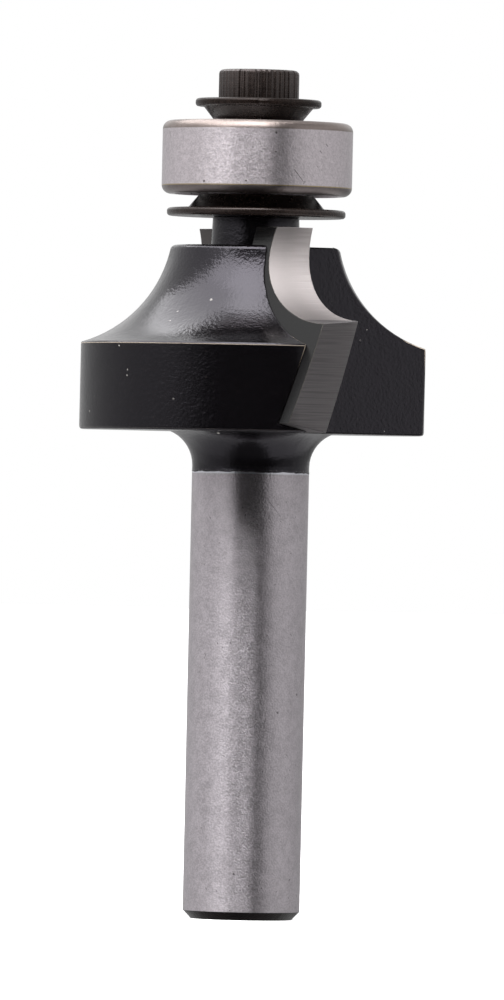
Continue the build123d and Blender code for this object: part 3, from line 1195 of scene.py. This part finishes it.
def add_room(scene, settings):
    """White background, and for reflections a studio: dark at the camera, pale at the back."""
    world = bpy.data.worlds.new("studio")
    world.use_nodes = True
    tree = world.node_tree
    background = tree.nodes["Background"]
    direction = add_node(tree, "ShaderNodeTexCoord")["Generated"]
    inputs = {"Vector": direction, "Rotation": (0, 0, -settings.camera_azimuth)}
    turned = add_node(tree, "ShaderNodeMapping", inputs)["Vector"]
    place = add_node(tree, "ShaderNodeSeparateXYZ", {"Vector": turned})
    away = maths(tree, "MULTIPLY", place["Y"], -1.0)
    angle = maths(tree, "ARCTAN2", place["X"], away)
    share = maths(tree, "ADD", maths(tree, "DIVIDE", angle, math.tau), 0.5)
    light = ramp(tree, share, ROOM_FLOOR)
    for start, end, stops in ROOM_LAYERS:
        above = band(tree, place["Z"], start, end)
        light = mix(tree, above, light, ramp(tree, share, stops))
    seen = add_node(tree, "ShaderNodeLightPath")["Is Camera Ray"]
    feed(tree, background.inputs["Color"], mix(tree, seen, light, (1, 1, 1)))
    background.inputs["Strength"].default_value = 1.0
    scene.world = world


def add_floor(scene):
    """A pale round floor that is white to the camera and keeps the tool's soft shadow."""
    radius, grey, glow_strength = 3.0, 0.85, 0.72
    bm = bmesh.new()
    bmesh.ops.create_circle(bm, cap_ends=True, segments=96, radius=radius)
    mesh = bpy.data.meshes.new("floor")
    bm.to_mesh(mesh)
    bm.free()
    material = bpy.data.materials.new("pale_floor")
    material.use_nodes = True
    tree = material.node_tree
    tree.nodes.remove(tree.nodes["Principled BSDF"])
    diffuse = add_node(tree, "ShaderNodeBsdfDiffuse", {"Color": (grey, grey, grey)})["BSDF"]
    rays = add_node(tree, "ShaderNodeLightPath")
    seen = maths(tree, "MAXIMUM", rays["Is Camera Ray"], rays["Is Transmission Ray"])
    strength = maths(tree, "MULTIPLY", seen, glow_strength)
    glow = add_node(tree, "ShaderNodeEmission", {"Color": (1, 1, 1), "Strength": strength})
    total = add_node(tree, "ShaderNodeAddShader", {0: diffuse, 1: glow["Emission"]})["Shader"]
    feed(tree, tree.nodes["Material Output"].inputs["Surface"], total)
    mesh.materials.append(material)
    floor = bpy.data.objects.new("floor", mesh)
    floor.visible_glossy = False
    scene.collection.objects.link(floor)


class BIT_OT_stage(bpy.types.Operator):
    """Camera, pale floor, studio room and softboxes"""

    bl_idname = "router_bit.stage"
    bl_label = "Stage"

    def execute(self, context):
        scene = context.scene
        settings = scene.bit_stage
        scene.view_settings.view_transform = "Standard"
        add_camera(scene, settings)
        add_floor(scene)
        add_room(scene, settings)
        for softbox in SOFTBOXES:
            add_softbox(scene, settings, *softbox)
        return {"FINISHED"}


# -------- panel


OPERATORS = (
    BIT_OT_painted_head,
    BIT_OT_ground_shank,
    BIT_OT_carbide_tips,
    BIT_OT_cap_screw,
    BIT_OT_washers,
    BIT_OT_bearing,
    BIT_OT_stage,
)


class BIT_PT_panel(bpy.types.Panel):
    """Lists the pieces and the stage"""

    bl_label = "Router Bit"
    bl_idname = "BIT_PT_panel"
    bl_space_type = "VIEW_3D"
    bl_region_type = "UI"
    bl_category = "Router Bit"

    def draw(self, context):
        for operator in OPERATORS:
            self.layout.operator(operator.bl_idname)


def register():
    for settings in SETTINGS.values():
        bpy.utils.register_class(settings)
    for name, settings in SETTINGS.items():
        setattr(bpy.types.Scene, name, bpy.props.PointerProperty(type=settings))
    for operator in OPERATORS:
        bpy.utils.register_class(operator)
    bpy.utils.register_class(BIT_PT_panel)


def unregister():
    bpy.utils.unregister_class(BIT_PT_panel)
    for operator in reversed(OPERATORS):
        bpy.utils.unregister_class(operator)
    for name, settings in reversed(SETTINGS.items()):
        delattr(bpy.types.Scene, name)
        bpy.utils.unregister_class(settings)


def run(operator):
    """Calls an operator by its id name, and stops if it doesn't finish."""
    group, name = operator.bl_idname.split(".")
    if getattr(getattr(bpy.ops, group), name)() != {"FINISHED"}:
        raise RuntimeError(f"{operator.bl_label} didn't finish")


def main():
    register()
    for operator in OPERATORS:
        run(operator)


if __name__ == "__main__":
    main()
